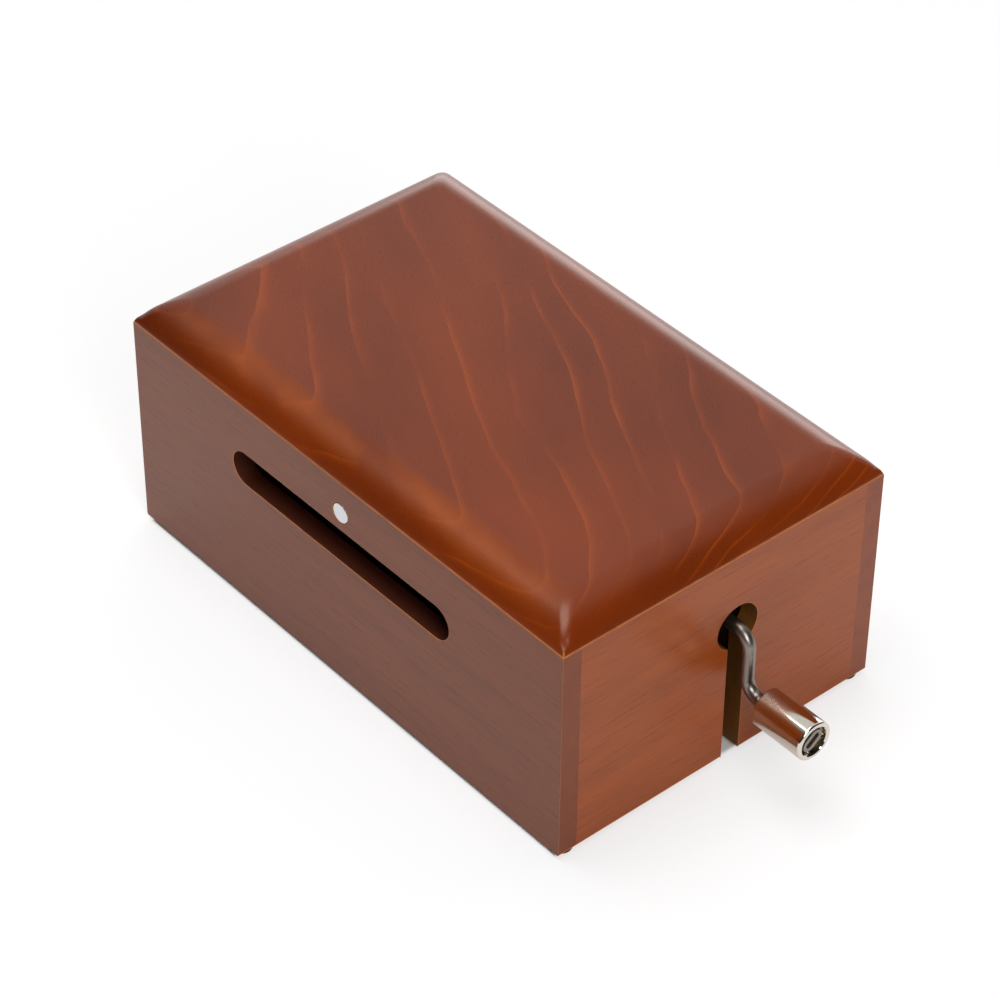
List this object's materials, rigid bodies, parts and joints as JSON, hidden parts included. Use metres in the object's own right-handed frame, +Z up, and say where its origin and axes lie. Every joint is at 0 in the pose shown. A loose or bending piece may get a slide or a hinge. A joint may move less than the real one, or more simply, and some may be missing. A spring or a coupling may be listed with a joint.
{
  "type": "hand cranked strip music box",
  "caption": "Wooden box with a rounded lid, a long slot for a punched paper strip, a bent side crank with a metal knob, and a strip-fed comb movement inside.",
  "frame": {"origin": "on the floor, under the middle of the wooden case", "axes": "+X to the crank's side, +Y to the back, where the strip leaves, +Z up"},
  "size_m": [0.1868, 0.0992, 0.0697],
  "materials": {
    "stained_wood": "stained and satin lacquered",
    "plain_wood": "planed, unfinished",
    "marker": "satin nickel plate",
    "black_rubber": "matt",
    "roller_rubber": "ground",
    "zinc_casting": "as cast",
    "sheet_steel": "rolled, zinc plated",
    "bright_screws": "zinc plated",
    "spring_steel": "ground",
    "axle_steel": "ground",
    "crank_steel": "satin nickel",
    "nickel_plate": "polished nickel",
    "brass": "turned",
    "lead": "cast",
    "film": "film",
    "nylon": "moulded"
  },
  "bodies": {
    "case": {"lid": "stained_wood", "front_panel": "stained_wood", "back_panel": "stained_wood", "left_panel": "stained_wood", "right_panel": "stained_wood", "base_board": "plain_wood", "corner_block_front_left": "plain_wood", "corner_block_front_right": "plain_wood", "corner_block_back_left": "plain_wood", "corner_block_back_right": "plain_wood", "bearer_left": "plain_wood", "bearer_right": "plain_wood", "marker_dot": "marker", "foot_front_left": "black_rubber", "foot_front_right": "black_rubber", "foot_back_left": "black_rubber", "foot_back_right": "black_rubber", "bedplate": "zinc_casting", "left_cheek": "zinc_casting", "right_cheek": "zinc_casting", "comb_bridge": "zinc_casting", "gear_bracket": "zinc_casting", "lower_strip_guide": "sheet_steel", "upper_strip_guide": "sheet_steel", "top_bridge": "sheet_steel", "base_screws": "bright_screws", "bed_screws": "bright_screws", "cheek_screws": "bright_screws", "bracket_screws": "bright_screws", "top_bridge_screws": "bright_screws", "comb_screws": "bright_screws", "comb": "spring_steel", "leaf_spring": "spring_steel", "star_shaft": "axle_steel", "feed_bush_left": "brass", "feed_bush_right": "brass", "crank_bush_inner": "brass", "crank_bush_outer": "brass", "bass_weights": "lead", "damper_strip": "film", "pressure_block_left": "nylon", "pressure_block_right": "nylon"},
    "crank": {"crank_rod": "crank_steel", "crank_pinion": "brass", "crank_collar": "brass"},
    "knob": {"crank_knob": "nickel_plate"},
    "feed_roller": {"feed_axle": "axle_steel", "feed_gear": "brass", "feed_sleeve_left": "roller_rubber", "feed_sleeve_right": "roller_rubber"},
    "pressure_roller": {"pressure_axle": "axle_steel", "pressure_sleeve_left": "roller_rubber", "pressure_sleeve_right": "roller_rubber"},
    "star_set": {"star_wheels": "brass"}
  },
  "joints": [
    {"name": "crank_turn", "type": "hinge", "parent": "case", "child": "crank", "pos_m": [0.08, 0.0042, 0.0412], "axis": [1, 0, 0], "continuous": true},
    {"name": "knob_spin", "type": "hinge", "parent": "crank", "child": "knob", "pos_m": [0.0989, 0.0042, 0.0242], "axis": [1, 0, 0], "continuous": true},
    {"name": "feed_roller_turn", "type": "hinge", "parent": "case", "child": "feed_roller", "pos_m": [0, 0.01832, 0.03835], "axis": [1, 0, 0], "continuous": true},
    {"name": "pressure_roller_turn", "type": "hinge", "parent": "case", "child": "pressure_roller", "pos_m": [0, 0.01832, 0.04765], "axis": [1, 0, 0], "continuous": true},
    {"name": "star_wheels_turn", "type": "hinge", "parent": "case", "child": "star_set", "pos_m": [0, -0.0046, 0.0392], "axis": [1, 0, 0], "continuous": true}
  ],
  "couplings": [
    {"joint": "feed_roller_turn", "follows": "crank_turn", "ratio": -0.5},
    {"joint": "pressure_roller_turn", "follows": "crank_turn", "ratio": 0.625}
  ]
}
